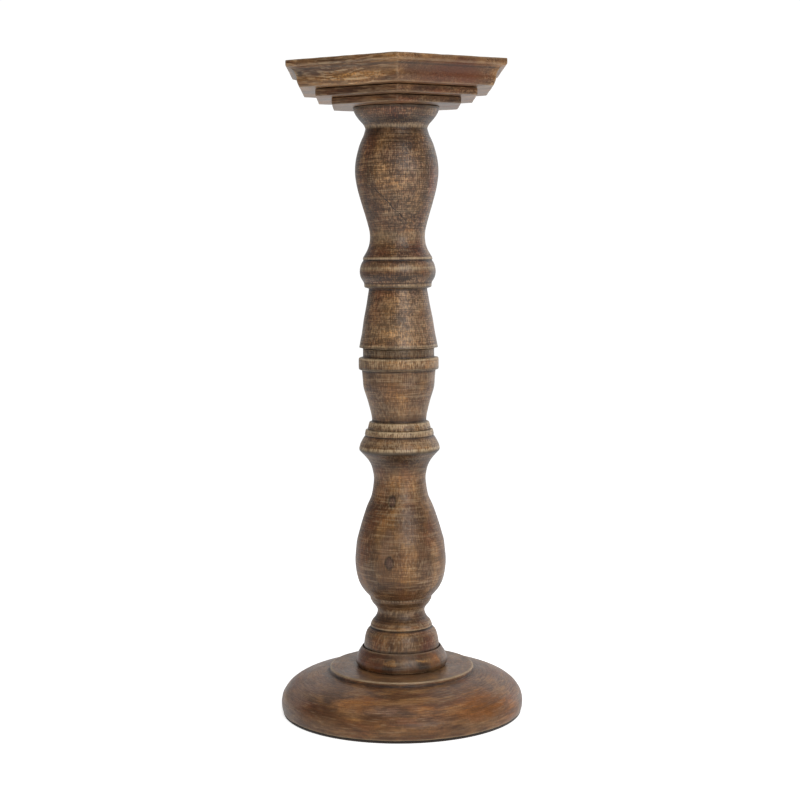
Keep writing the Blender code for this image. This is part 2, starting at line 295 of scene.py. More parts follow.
def swept(name, profile, section, seed=0, tool_marks=0.035 * MM, bores=()):
    """A solid with the profile's outline along its height and the section's shape across it."""
    bm = bmesh.new()
    worn_layer, hollow_layer, shade_layer = (
        bm.verts.layers.float.new(layer) for layer in ("worn", "hollow", "shade")
    )
    rings = []
    for row in range(len(profile.points) - (1 if profile.closed else 0)):
        radius, height = profile.points[row]
        out, rise = profile.normals[row]
        if radius < TOUCH:
            ring = [bm.verts.new((0, 0, height))]
        else:
            ring = []
            for flat, outward, edge in section(radius):
                place = flat + UP * height
                worn = max(profile.worn[row], edge * 0.8)
                if profile.skin and radius > profile.skin:
                    place += (outward * out + UP * rise) * surface_offset(place, worn, seed, tool_marks)
                vertex = bm.verts.new(place)
                vertex[worn_layer] = worn
                ring.append(vertex)
        for vertex in ring:
            vertex[hollow_layer] = profile.hollow[row]
            vertex[shade_layer] = profile.shade[row]
        rings.append(ring)
    if profile.closed:
        rings.append(rings[0])
    for lower, upper in zip(rings, rings[1:]):
        join_rings(bm, lower, upper)
    close_faces(bm, rings[0], rings[-1], bores)
    return finish_mesh(name, bm)


def join_rings(bm, lower, upper):
    """Faces between two rings, listed anticlockwise from above; a ring of one point makes a fan."""
    count = max(len(lower), len(upper))
    for k in range(count):
        after = (k + 1) % count
        if len(lower) == 1:
            bm.faces.new((lower[0], upper[after], upper[k]))
        elif len(upper) == 1:
            bm.faces.new((lower[k], lower[after], upper[0]))
        else:
            bm.faces.new((lower[k], lower[after], upper[after], upper[k]))


def close_faces(bm, bottom, top, bores):
    """Flat faces over the open bottom and top rings, pierced by bores of (offset, radius, low, high)."""
    floor = bottom[0].co.z
    roof = top[0].co.z
    open_below = []
    open_above = []
    for offset, radius, low, high in bores:
        lower = bore_ring(bm, offset, radius, max(low, floor))
        upper = bore_ring(bm, offset, radius, min(high, roof))
        join_rings(bm, upper, lower)
        if low < floor:
            open_below.append(lower)
        else:
            bm.faces.new(lower)
        if high > roof:
            open_above.append(upper)
        else:
            bm.faces.new(list(reversed(upper)))
    if bottom is not top and len(bottom) > 1:
        fill(bm, bottom, open_below, -1)
    if bottom is not top and len(top) > 1:
        fill(bm, top, open_above, 1)


def bore_ring(bm, offset, radius, height):
    middle = Vector((offset, 0, height))
    return [
        bm.verts.new(middle + around(2 * math.pi * k / SMALL_SEGMENTS) * radius)
        for k in range(SMALL_SEGMENTS)
    ]


def fill(bm, rim, holes, facing):
    """A flat face inside the rim, around the holes, facing up (1) or down (-1)."""
    edges = set()
    for loop in (rim, *holes):
        for a, b in zip(loop, [*loop[1:], loop[0]]):
            edges.add(bm.edges.get((a, b)) or bm.edges.new((a, b)))
    made = bmesh.ops.triangle_fill(bm, use_beauty=True, edges=list(edges), normal=UP * facing)
    for face in made["geom"]:
        if isinstance(face, bmesh.types.BMFace):
            face.normal_update()
            if face.normal.z * facing < 0:
                face.normal_flip()


def finish_mesh(name, bm):
    mesh = bpy.data.meshes.new(name)
    bm.normal_update()
    bm.to_mesh(mesh)
    bm.free()
    mesh.shade_smooth()
    mesh.set_sharp_from_angle(angle=SMOOTH_ANGLE)
    piece = bpy.data.objects.new(name, mesh)
    bpy.context.scene.collection.objects.link(piece)
    return piece


# ---------------------------------------------------------------- pieces


def turned_stem(name, node, seed, bores=()):
    walk = outline_of(node, TO_BACK)
    if bores:
        rim = int(np.argmax(walk[:, 1]))
        walk = np.vstack([walk[:rim + 1], [(22.5 * MM, walk[rim][1])]])
    return swept(name, Profile(walk, skin=STEM_SKIN), round_section(STEM_SEGMENTS), seed, bores=bores)


def turned_ring(name, node, segments, seed=0, **profile):
    """A turned piece with a hole along its axis; profile holds settings of its outline."""
    outline = Profile(outline_of(node, TO_BACK), closed=True, **profile)
    return swept(name, outline, round_section(segments), seed)


def hexagonal_board(name, node, seed, bores, inset=4 * MM):
    walk = outline_of(node, TO_CAMERA)
    walk = np.vstack([walk[:1] - (inset, 0), walk, walk[-1:] - (inset, 0)])
    profile = Profile(walk, skin=walk[0][0], row_step=0.7 * MM)
    return swept(name, profile, hexagon_section(SIDE_POINTS), seed, 0.012 * MM, bores)


def wooden_peg(name, node, flutes, flute_depth, offset):
    centre = Vector((offset, 0, 0))
    profile = Profile(solid_outline(node, centre), row_step=2 * MM)
    peg = swept(name, profile, round_section(2 * SMALL_SEGMENTS, flutes, flute_depth))
    peg.data.transform(Matrix.Translation(centre))
    return peg


def lofted(name, rings):
    """A solid through rings of equal point counts, from the bottom up; the ends are single points."""
    bm = bmesh.new()
    loops = [[bm.verts.new(place) for place in ring] for ring in rings]
    for lower, upper in zip(loops, loops[1:]):
        join_rings(bm, lower, upper)
    return finish_mesh(name, bm)


def ring_at(height, radius_at):
    """A ring of places whose radius depends on the angle around the axis."""
    angles = [2 * math.pi * k / SMALL_SEGMENTS for k in range(SMALL_SEGMENTS)]
    return [around(angle) * radius_at(angle) + UP * height for angle in angles]


def hexagonal(corner):
    """Radius of a hexagon by angle, with a corner at the start."""
    apothem = corner * math.cos(math.pi / 6)
    return lambda angle: apothem / math.cos(angle % (math.pi / 3) - math.pi / 6)


def threaded(root, depth, pitch, height):
    """Radius of a helical thread by angle, at a height."""

    def radius(angle):
        phase = (height / pitch - angle / (2 * math.pi)) % 1
        return root + depth * max(0.0, 1 - abs(2 * phase - 1) * 1.5)

    return radius


def thread_rings(crest, depth, pitch, bottom, top):
    """Rings of a wood screw's thread that runs out towards its ends."""
    steps = math.ceil((top - bottom) / pitch * 8)
    rings = []
    for step in range(steps + 1):
        height = bottom + (top - bottom) * step / steps
        fade = min(1.0, step / 4, (steps - step) / 4)
        rings.append(ring_at(height, threaded(crest - depth, depth * fade, pitch, height)))
    return rings


def coach_screw():
    low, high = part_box("base_screw")
    head_top = low[2] + 5.5 * MM
    shank = 4.0 * MM
    rings = [
        [Vector((0, 0, low[2]))],
        ring_at(low[2], lambda angle: 5.8 * MM),
        ring_at(low[2] + 0.2 * MM, lambda angle: 6.1 * MM),
        ring_at(low[2] + 0.9 * MM, hexagonal(7.4 * MM)),
        ring_at(head_top - 0.2 * MM, hexagonal(7.45 * MM)),
        ring_at(head_top, hexagonal(7.3 * MM)),
        ring_at(head_top, lambda angle: shank),
        ring_at(30 * MM, lambda angle: shank),
        ring_at(31 * MM, lambda angle: shank - 0.8 * MM),
        *thread_rings(shank, 0.8 * MM, 3.6 * MM, 32 * MM, high[2] - 3 * MM),
        [Vector((0, 0, high[2]))],
    ]
    return lofted("coach_screw", rings)


def countersunk_screw():
    low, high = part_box("top_screw")
    shank = 2.2 * MM
    head = 4.4 * MM
    head_top = high[2]

    def cross(angle):
        return 0.7 * MM + 1.5 * MM * abs(math.cos(2 * angle)) ** 6

    rings = [
        [Vector((0, 0, low[2]))],
        *thread_rings(shank, 0.5 * MM, 2.2 * MM, low[2] + 4 * MM, 426 * MM),
        ring_at(427 * MM, lambda angle: shank),
        ring_at(head_top - 2.2 * MM, lambda angle: shank),
        ring_at(head_top - 0.3 * MM, lambda angle: head - 0.1 * MM),
        ring_at(head_top - 0.15 * MM, lambda angle: head),
        ring_at(head_top, lambda angle: head - 0.15 * MM),
        ring_at(head_top, cross),
        ring_at(head_top - 1.2 * MM, lambda angle: 0.6 * cross(angle)),
        [Vector((0, 0, head_top - 1.8 * MM))],
    ]
    return lofted("countersunk_screw", rings)


def felt_disc():
    """A round pad cut by hand from felt: its edge is a little uneven and furry."""
    profile = Profile(solid_outline("felt_pad"), row_step=0.3 * MM, softness=0.18 * MM)
    bm = bmesh.new()
    rings = []
    for (radius, height), (out, _) in zip(profile.points, profile.normals):
        if radius < TOUCH:
            rings.append([bm.verts.new((0, 0, height))])
        elif radius > 79 * MM or not rings or len(rings[-1]) == 1:
            ring = []
            for flat, spoke, _ in round_section(BASE_SEGMENTS)(max(radius, 40 * MM)):
                fuzz = 0.15 + 0.3 * abs(ripple(flat, 900, 3)) + 0.25 * abs(ripple(flat, 60, 9))
                ring.append(bm.verts.new(flat - spoke * fuzz * out * 0.6 * MM + UP * height))
            rings.append(ring)
    for lower, upper in zip(rings, rings[1:]):
        join_rings(bm, lower, upper)
    return finish_mesh("felt_disc", bm)


# ---------------------------------------------------------------- material graphs


def srgb(red, green, blue):
    """A linear colour from 0-255 display values."""
    values = (v / 255 for v in (red, green, blue))
    return tuple(v / 12.92 if v <= 0.04045 else ((v + 0.055) / 1.055) ** 2.4 for v in values)


class Wire:
    """What a node gives out. Adding, subtracting, multiplying and dividing numbers adds nodes."""

    def __init__(self, graph, socket):
        self.graph = graph
        self.socket = socket

    def __add__(self, other):
        return self.graph.math("ADD", self, other)

    def __radd__(self, other):
        return self.graph.math("ADD", other, self)

    def __sub__(self, other):
        return self.graph.math("SUBTRACT", self, other)

    def __rsub__(self, other):
        return self.graph.math("SUBTRACT", other, self)

    def __mul__(self, other):
        return self.graph.math("MULTIPLY", self, other)

    def __rmul__(self, other):
        return self.graph.math("MULTIPLY", other, self)

    def __truediv__(self, other):
        return self.graph.math("DIVIDE", self, other)


class Graph:
    """Shorthand for building a material's nodes: calls take numbers, tuples or wires and give wires."""

    def __init__(self, name):
        self.material = bpy.data.materials.new(name)
        self.material.use_nodes = True
        self.tree = self.material.node_tree
        self.shader = self.tree.nodes["Principled BSDF"]
        self.place = self.add("ShaderNodeTexCoord", "Object")

    def add(self, kind, output, values=(), **settings):
        """A new node with its settings and inputs, and the wire from one of its outputs."""
        node = self.tree.nodes.new(kind)
        for key, value in settings.items():
            setattr(node, key, value)
        for key, value in dict(values).items():
            self.feed(node.inputs[key], value)
        return Wire(self, node.outputs[output])

    def feed(self, socket, value):
        if isinstance(value, Wire):
            self.tree.links.new(value.socket, socket)
        elif socket.type == "RGBA":
            socket.default_value = (*value, 1)
        else:
            socket.default_value = value

    def math(self, operation, a, b=0.0):
        return self.add("ShaderNodeMath", 0, {0: a, 1: b}, operation=operation)

    def least(self, a, b):
        return self.math("MINIMUM", a, b)

    def most(self, a, b):
        return self.math("MAXIMUM", a, b)

    def length(self, x, y):
        return self.math("SQRT", x * x + y * y)

    def vector(self, operation, a, b=(0, 0, 0), output="Vector"):
        return self.add("ShaderNodeVectorMath", output, {0: a, 1: b}, operation=operation)

    def scaled(self, a, factor):
        return self.add("ShaderNodeVectorMath", "Vector", {0: a, "Scale": factor}, operation="SCALE")

    def warped(self, place, wobble, reach):
        """A place moved along each axis by up to half the reach, as a noise colour says."""
        return self.vector("ADD", place, self.scaled(self.vector("SUBTRACT", wobble, (0.5,) * 3), reach))

    def combine(self, x, y, z):
        return self.add("ShaderNodeCombineXYZ", "Vector", {"X": x, "Y": y, "Z": z})

    def dot(self, a, b):
        return self.vector("DOT_PRODUCT", a, b, "Value")

    def separate(self, vector):
        node = self.tree.nodes.new("ShaderNodeSeparateXYZ")
        self.feed(node.inputs["Vector"], vector)
        return [Wire(self, socket) for socket in node.outputs]

    def around_disc(self, x, y, radius, climb, reach):
        """A space in which a pattern is drawn out round the axis: reach is its depth per radian."""
        return self.combine(x / radius * reach, y / radius * reach, climb)

    def noise(self, vector, scale, detail=2.0, roughness=0.5, shift=0.0, output="Fac"):
        stretched = self.vector("MULTIPLY", vector, scale if isinstance(scale, tuple) else (scale,) * 3)
        if shift:
            stretched = self.vector("ADD", stretched, (shift, 1.7 * shift, -0.6 * shift))
        values = {"Vector": stretched, "Scale": 1.0, "Detail": detail, "Roughness": roughness}
        return self.add("ShaderNodeTexNoise", output, values)

    def remap(self, value, low, high, to_low=0.0, to_high=1.0):
        """Smoothly take a value from the range low..high to the range to_low..to_high."""
        values = {"Value": value, "From Min": low, "From Max": high, "To Min": to_low, "To Max": to_high}
        return self.add("ShaderNodeMapRange", "Result", values, interpolation_type="SMOOTHSTEP")

    def mix(self, amount, a, b):
        """One colour changed to another by an amount."""
        node = self.tree.nodes.new("ShaderNodeMix")
        node.data_type = "RGBA"
        for socket, value in ((node.inputs["Factor"], amount), (node.inputs[6], a), (node.inputs[7], b)):
            self.feed(socket, value)
        return Wire(self, node.outputs[2])

    def attribute(self, name):
        return self.add("ShaderNodeAttribute", "Fac", attribute_name=name)

    def away(self, place, centre, reach):
        """How far a place is from a centre, as a share of the reach along each axis, both in mm."""
        arm = self.vector("SUBTRACT", place, tuple(v * MM for v in centre))
        arm = self.vector("DIVIDE", arm, tuple(v * MM for v in reach))
        return self.vector("LENGTH", arm, output="Value")

    def spots(self, places, wobble):
        """The strongest of several soft spots, each a centre and a reach in mm, and a strength."""
        total = 0.0
        for centre, reach, strength in places:
            total = self.most(self.remap(self.away(wobble, centre, reach), 1.0, 0.15) * strength, total)
        return total

    def eyes(self, places, wobble):
        """Knots: how much of the dark rim and of the core is here, for several places."""
        rims, cores = 0.0, 0.0
        for centre, reach, strength in places:
            away = self.away(wobble, centre, reach)
            rim = self.remap(self.math("ABSOLUTE", away - 0.72), 0.30, 0.02)
            rims = self.most(rim * strength, rims)
            cores = self.most(self.remap(away, 0.8, 0.45) * strength, cores)
        return rims, cores

    def bands(self, places):
        """The sum of soft bands around the axis, each a height and a half width in mm, and a strength."""
        height = self.separate(self.place)[2]
        total = 0.0
        for middle, reach, strength in places:
            away = self.math("ABSOLUTE", height - middle * MM)
            total = total + self.remap(away, reach * MM, 0.15 * reach * MM, 0.0, strength)
        return total

    def finish(self, colour, roughness, height, relief, **constants):
        """The material, with the height as a bump of that relief and constants on the shader's sockets."""
        bump = self.add("ShaderNodeBump", "Normal", {"Strength": 1.0, "Distance": relief, "Height": height})
        for socket, value in (("Base Color", colour), ("Roughness", roughness), ("Normal", bump)):
            self.feed(self.shader.inputs[socket], value)
        for socket, value in constants.items():
            self.shader.inputs[socket.replace("_", " ")].default_value = value
        return self.material


# ---------------------------------------------------------------- wood

DARK = srgb(56, 39, 28)
MID = srgb(100, 72, 48)
TAN = srgb(140, 109, 74)
GOLD = srgb(166, 124, 70)
RED = srgb(106, 60, 36)
ORANGE = srgb(140, 90, 34)
GREY = srgb(114, 94, 84)
PALE = srgb(196, 170, 134)
CREVICE = srgb(34, 24, 19)
KNOT = srgb(92, 70, 66)

# The regular part of the fine grid on a stem: tool rings along it, and strokes around it
GROOVE_PITCH = 1.4 * MM
STROKES_AROUND = 118
REGULAR = 0.38

FINE = 760
FADE = (0.34, 0.66)
WOOD_RELIEF = 0.28 * MM
COAT_ROUGHNESS = 0.28

# How far noise carries the grain, the edges of patches, and knots from their places, both ways together
SWAY = 12 * MM
RAGGED = 11 * MM
NEARLY_TRUE = 2.5 * MM


def stained_wood(name, looks):
    """Old brown stain rubbed over turned or planed wood, with painted shade and painted highlights, as the
    looks say: PLAIN explains them.
    """
    g = Graph(name)
    look = SimpleNamespace(**looks)

    def noise(space, scale, layer, detail=1.0, roughness=0.5, output="Fac"):
        return g.noise(space, scale, detail, roughness, look.seed + layer, output)

    def marked(spots):
        return g.spots(spots, ragged)

    def lengthwise(stretch):
        return g.combine(across, beside, along * stretch)

    def spun(stretch):
        return g.combine(x * stretch, y * stretch, z)

    place = g.warped(g.place, noise(g.place, 11, 0, output="Color"), SWAY)
    rough_edge = noise(g.place, 95, 3, 3.0, 0.6, "Color")
    ragged = g.warped(place, rough_edge, RAGGED)
    near = g.warped(g.place, rough_edge, NEARLY_TRUE)
    across, beside, along = (g.dot(place, axis) for axis in look.grain)
    x, y, z = g.separate(g.place)
    fibre_space = lengthwise(0.045)
    if look.lathe == "disc":
        radius = g.length(x, y)
        climb = radius - z
        fibre_space = g.around_disc(x, y, radius, climb, 0.008)

    # Growth rings, fibres and short open pores run with the grain
    depth = g.length(across - look.pith[0] * MM, beside - look.pith[1] * MM)
    depth = depth + noise(fibre_space, 60, 1) * 0.004
    growth = g.remap(noise(g.combine(depth, along * 0.02, 0.0), 420, 0, 2.0, 0.6), 0.36, 0.66)
    fibre = noise(fibre_space, 820, 2, 3.0, 0.65)
    pores = noise(lengthwise(look.tick_length), 860, 4, 1.0, 0.4)
    dark_tick = g.remap(pores, 0.53, 0.66)
    light_tick = g.remap(pores, 0.47, 0.34)

    # Tool lines and short dashes run around the turning axis, or with the grain of planed boards
    if look.lathe == "stem":
        lines = noise(spun(0.07), FINE, 5)
        broad = noise(spun(0.10), 210, 6)
        dashes = noise(spun(0.12), FINE, 15)
    elif look.lathe == "disc":
        rings = g.around_disc(x, y, radius, climb, 0.012)
        lines = noise(rings, FINE, 5, 2.0, 0.6)
        broad = noise(rings, 230, 6, 3.0, 0.6)
        dashes = noise(rings, FINE, 15)
    else:
        lines = noise(fibre_space, 1500, 5)
        broad = noise(fibre_space, 240, 6, 2.0, 0.6)
        dashes = noise(lengthwise(0.12), FINE, 15)
    dark_line = g.remap(lines, 0.48, 0.34)
    light_line = g.remap(lines, 0.54, 0.68)

    # Dashes and upright stitches cross into a fine grid, which is partly regular on a stem
    dashes = g.remap(dashes, *FADE)
    stitches = g.remap(noise(lengthwise(look.tick_length), FINE, 16), *FADE)
    grains = g.remap(noise(g.place, 820, 17), *FADE)
    if look.lathe == "stem":
        drift = noise(g.place, 150, 19)
        grooves = g.math("SINE", z * (2 * math.pi / GROOVE_PITCH) + drift * 9.0)
        strokes = g.math("SINE", g.math("ARCTAN2", x, y * -1.0) * STROKES_AROUND + drift * 12.0)
        dashes = dashes * (1 - REGULAR) + g.remap(grooves, -0.8, 0.8, 0.0, REGULAR)
        stitches = stitches * (1 - REGULAR) + g.remap(strokes, -0.8, 0.8, 0.0, REGULAR)

    # Stain lies in clouds of dark, tan, gold, red and grey; some dark patches are painted shade, some gold
    # ones painted highlight and some grey ones painted sheen
    cloud_space = lengthwise(look.stretch)
    if look.lathe == "disc":
        cloud_space = g.around_disc(x, y, radius, climb * 1.7, 0.045)
    cloud = noise(cloud_space, 46, 7, 4.0, 0.62)
    patch = noise(cloud_space, 70, 8, 3.0, 0.6)
    wash = noise(cloud_space, 58, 9, 3.0, 0.55)
    tint = noise(cloud_space, 38, 10, 3.0, 0.6)
    speckle = noise(g.place, 420, 11, 3.0, 0.7)
    dark_stain_and_shade = marked(look.dark)
    colour = g.mix(g.remap(cloud - dark_stain_and_shade * 0.22, 0.30, 0.60, 1.0 - look.cloudy, 1.0), DARK, MID)
    colour = g.mix(g.remap(patch, 0.46, 0.66) * look.tan, colour, TAN)
    # Gold patches: gold stain, and the painted highlight along the bead
    golden = g.remap(wash, 0.50, 0.70) * look.gold + marked(look.golden)
    golden = golden * g.remap(broad * 0.5 + fibre * 0.5, 0.34, 0.6, 0.45, 1.0)
    colour = g.mix(g.least(golden, 0.9), colour, GOLD)
    ruddy = g.remap(tint, 0.50, 0.68) * look.red + marked(look.ruddy)
    colour = g.mix(g.least(ruddy, 0.9), colour, RED)
    glow = marked(look.orange) * g.remap(broad, 0.30, 0.62, 0.55, 1.0)
    colour = g.mix(glow, colour, ORANGE)
    # Grey patches: grey stain, and painted sheen: the grey-blue highlight right of the stem's front and the
    # grey rim along the baluster's left edge
    greyed_and_sheen = g.remap(tint, 0.50, 0.34) * look.grey + marked(look.greyish)
    greyed_and_sheen = greyed_and_sheen * g.remap(broad, 0.30, 0.60, 0.55, 1.0)
    colour = g.mix(g.least(greyed_and_sheen, 0.85), colour, GREY)

    # Grain, tools and the fine grid darken and lighten it, and so do patches of painted shade and painted
    # highlight
    tone = (
        1.0
        + (growth - 0.5) * look.rings
        + (fibre - 0.5) * look.fibre
        + (broad - 0.5) * look.broad
        + (speckle - 0.5) * look.speckle
    )
    patchy = g.remap(noise(g.place, 55, 12, 2.0), 0.38, 0.62, 0.35, 1.0)
    upright = marked(look.combed)
    combed = g.most(g.remap(noise(g.place, 48, 13, 2.0), 0.42, 0.62, 0.1, 0.6), upright)
    grit = g.remap(noise(g.place, 40, 18, 2.0), 0.36, 0.62, *look.grit)
    grit = g.most(grit, marked(look.gritty))
    woven = (
        (dashes - 0.5) * g.remap(upright, 0.0, 1.0, look.dashes, 0.35 * look.dashes)
        + (stitches - 0.5) * g.remap(upright, 0.0, 1.0, look.stitches, 1.5 * look.stitches)
        + (grains - 0.5) * look.grains
    )
    calm = 1.0 - marked(look.calm) * 0.85
    tone = 1.0 + (tone - 1.0) * calm
    tone = tone * (1.0 + woven * grit * calm)
    tone = tone * (1.0 - dark_line * patchy * look.lines)
    tone = tone * (1.0 - dark_tick * combed * look.ticks)
    tone = g.most(tone, look.darkest)
    knots, cores = g.eyes(look.knots, near)
    tone = tone * (1.0 - knots * 0.6)
    # Dark patches darken the tone: darker stain, and painted shade on the sides of the stems, under the
    # boards and under the arris
    tone = tone * (1.0 - dark_stain_and_shade * 0.28)
    # Light patches brighten the tone: painted highlights on the fronts of the stems and the base, and pale
    # pits on the top board
    tone = tone * (1.0 + marked(look.light) * 0.35)
    colour = g.mix(cores * 0.75, colour, KNOT)
    colour = g.vector("MULTIPLY", g.scaled(colour, tone), look.tint)
    # Pale marks: pale lathe lines and pores, and painted glints where dashes and stitches cross
    pale_marks = (
        light_line * patchy * (look.lines * 0.55)
        + light_tick * combed * (look.ticks * 0.75)
        + g.remap(dashes * stitches, 0.28, 0.75) * grit * look.glints
    )
    colour = g.mix(g.least(pale_marks * calm, 0.8), colour, PALE)

    # A fine drying check, where there is one, climbs at a slope through a level, between two widths
    check = 0.0
    if look.check:
        slope, level, west, east = look.check
        waver = (g.noise(g.place, 160) - 0.5) * 0.0028
        thin = g.remap(g.math("ABSOLUTE", z + x * slope + waver - level * MM), 0.00075, 0.00015)
        begins = g.remap(x, (west - 3) * MM, (west + 3) * MM)
        ends = g.remap(x, (east + 4) * MM, (east - 3) * MM)
        check = thin * (begins * ends) * g.remap(y, -0.004, -0.010)
        check = check * g.remap(g.noise(g.place, 330, 1.0), 0.30, 0.5, 0.3, 1.0)
        colour = g.mix(check * 0.95, colour, CREVICE)

    # Rubbed edges show pale wood, fine hollows keep the dark wax, and broad recesses get painted shade
    rub = noise(g.place, 130, 14, 3.0, 0.6)
    rubbed = g.remap(g.attribute("worn"), 0.12, 0.75) * g.remap(rub, 0.30, 0.62, look.rub, 1.0)
    colour = g.mix(rubbed * look.wear, colour, PALE)
    # Painted shade: the shade attribute darkens broad recesses towards the crevice colour
    shaded = g.remap(g.attribute("shade"), 0.56, 1.0) * 0.55
    waxed_and_shaded = g.most(g.remap(g.attribute("hollow"), 0.08, 0.7), shaded)
    waxed_and_shaded = waxed_and_shaded * g.remap(rub, 0.70, 0.35, 0.55, 1.0)
    colour = g.mix(waxed_and_shaded * look.wax, colour, CREVICE)

    # Pale bands are painted highlights on arrises and fillets, partly bands that cloths rubbed pale,
    # notched by the stitches; dark bands are mostly painted shade under the boards and mouldings and in
    # grooves and creases
    polish_and_highlight = g.bands(look.pale_bands) * g.remap(rub, 0.30, 0.60, 0.5, 1.0)
    polish_and_highlight = polish_and_highlight * g.remap(stitches, 0.25, 0.75, look.notched, 1.25)
    colour = g.mix(g.least(polish_and_highlight, 0.85), colour, PALE)
    colour = g.scaled(colour, 1.0 - g.least(g.bands(look.dark_bands), 0.8))

    roughness = 0.38 + (cloud - 0.5) * 0.28 + (fibre - 0.5) * 0.22
    roughness = roughness + rubbed * 0.06 + waxed_and_shaded * 0.12 + glow * 0.18
    height = (
        lines * 0.34
        + fibre * 0.26
        + dark_tick * -0.22
        + broad * 0.30
        + speckle * 0.18
        + check * -0.9
        + knots * -0.25
        + (dashes + stitches + grains) * grit * look.relief
    )
    return g.finish(
        colour, roughness, height, WOOD_RELIEF,
        Specular_IOR_Level=look.gloss, Coat_Weight=look.coat, Coat_Roughness=COAT_ROUGHNESS,
    )


PLAIN = dict(
    # The grain's two cross axes and its own; where the heart of the tree lies on the first two, in mm;
    # how strong the growth rings are; the kind of turning: "stem", "disc" or None; and a seed for noise
    grain=((1, 0, 0), (0, 1, 0), (0, 0, 1)), pith=(0, 0), rings=0.3, lathe="stem", seed=0.0,
    # Strengths of the stain's clouds, their shape along the grain, and a tint over everything
    tan=0.7, gold=0.35, red=0.45, grey=0.35, cloudy=1.0, stretch=0.45, tint=(1.0, 1.0, 1.0),
    # Strengths of the fibres, tool marks and pores, and the darkest tone that they may reach
    fibre=0.9, broad=0.6, speckle=1.0, lines=0.4, ticks=0.45, tick_length=0.33, darkest=0.62,
    # Strengths in the fine grid, its least and most, its painted glints, and how much it shows in the
    # relief
    dashes=0.75, stitches=0.75, grains=0.45, grit=(0.45, 1.0), glints=0.35, relief=0.2,
    # Wear on the edges, wax in the hollows and painted shade in broad recesses, how deep stitches cut into
    # the pale bands of painted highlight, and the gloss
    wear=0.55, rub=0.15, wax=0.8, notched=0.55, gloss=0.42, coat=0.1,
    # Patches: centre and reach in mm, and strength; dark ones hold painted shade, light and gold ones
    # painted highlights, and grey ones painted sheen, besides stain and pale pits
    dark=(), light=(), golden=(), ruddy=(), orange=(), greyish=(), calm=(), gritty=(), combed=(), knots=(),
    # Bands around the axis, pale ones of painted highlight and dark ones of painted shade: height and half
    # width in mm, and strength
    pale_bands=(), dark_bands=(),
    # A drying check: slope, level at the axis, and its two ends across, in mm
    check=None,
)

BOARD = dict(
    PLAIN, grain=((0.5, 0.866, 0), (0, 0, 1), (0.866, -0.5, 0)), lathe=None, rings=0.5, stretch=0.2,
    tick_length=0.2, grey=0.1, speckle=0.5, relief=0.05,
)

UPPER_STEM = dict(
    PLAIN, pith=(9, 34), rings=0.28, seed=3.1, grey=0.2, broad=0.45, speckle=0.5, lines=0.3, ticks=0.2,
    check=(1.04, 355.5, -16, 5), cloudy=0.7, tint=(1.02, 0.93, 0.86), grit=(0.65, 1.1), dashes=1.05,
    stitches=1.05, grains=0.9, glints=0.3, darkest=0.5,
    dark=(
        ((2, -24, 403), (26, 20, 9), 0.6), ((-29, -8, 384), (13, 26, 28), 1.3),
        ((-20, -18, 358), (10, 16, 16), 0.6), ((29, -8, 390), (12, 24, 26), 1.2),
        ((0, -20, 418), (34, 30, 6), 0.6), ((0, -30, 430), (34, 30, 3), 0.9),
        ((-10, -20, 352), (9, 10, 12), 0.4), ((-22, -10, 300), (8, 16, 26), 0.5),
    ),
    golden=(
        ((-10, -26, 380), (9, 12, 13), 0.4), ((-1, -27, 374), (8, 10, 10), 0.45),
        ((0, -24, 272), (14, 12, 10), 0.45), ((-5, -20, 292), (8, 12, 14), 0.3),
        ((-6, -25, 316), (14, 9, 3), 0.6), ((7, -17, 338), (6, 10, 8), 0.45),
        ((6, -27, 424), (22, 12, 3), 0.4), ((-15, -26, 424), (16, 12, 5), 0.6),
    ),
    ruddy=(
        ((-20, -16, 404), (12, 16, 14), 0.6), ((-28, -10, 380), (10, 20, 24), 0.5),
        ((27, -12, 376), (8, 20, 20), 0.6), ((22, -8, 272), (8, 16, 12), 0.5),
        ((17, -16, 330), (8, 14, 10), 0.3), ((-14, -16, 327), (10, 12, 5), 0.3),
        ((22, 14, 372), (14, 14, 22), 0.4), ((-6, -28, 423), (34, 16, 7), 0.55),
    ),
    greyish=(
        ((12, -26, 385), (7, 12, 11), 0.75), ((9, -19, 299), (6, 12, 9), 0.6),
        ((11, -21, 281), (6, 12, 12), 0.5), ((7, -25, 315), (9, 9, 3), 0.5),
        ((-6, -25, 392), (12, 10, 9), 0.35), ((-31, -2, 386), (7, 22, 24), 0.7),
        ((10, -19, 290), (6, 12, 22), 0.5),
    ),
    combed=(
        ((4, -27, 381), (24, 14, 16), 0.35), ((-2, -22, 352), (9, 12, 12), 0.5),
        ((5, -18, 337), (14, 12, 7), 1.0), ((-2, -24, 280), (20, 14, 26), 0.35),
        ((6, -27, 425), (20, 14, 5), 0.8), ((2, -21, 415), (18, 14, 3), 1.0),
        ((0, 26, 300), (30, 14, 40), 0.8),
    ),
    pale_bands=(
        (424, 3, 0.06), (414.6, 2.2, 0.3), (384, 14, 0.05), (338.5, 7, 0.22), (323.6, 1.1, 0.6),
        (319, 2, 0.12), (316.4, 2.6, 0.35), (316.9, 1.2, 0.3), (305.0, 1.2, 0.5), (291, 6, 0.1),
        (274, 14, 0.16), (262.6, 1.1, 0.55),
    ),
    dark_bands=(
        (428, 2.5, 0.6), (423, 6, 0.28), (418.5, 3.6, 0.5), (410.5, 4, 0.4), (362, 12, 0.22),
        (328, 8, 0.05), (322, 1.6, 0.3), (310.3, 4, 0.45), (303.6, 1.3, 0.6), (261.6, 1.2, 0.4),
    ),
    gritty=(((4, -27, 381), (24, 14, 16), 1.35), ((0, -24, 278), (20, 14, 22), 1.25)),
    calm=(((0, 0, 314.5), (60, 60, 6), 0.75),),
    light=(((-3, -27, 376), (16, 14, 14), 0.35), ((0, -24, 272), (16, 14, 12), 0.45)),
)

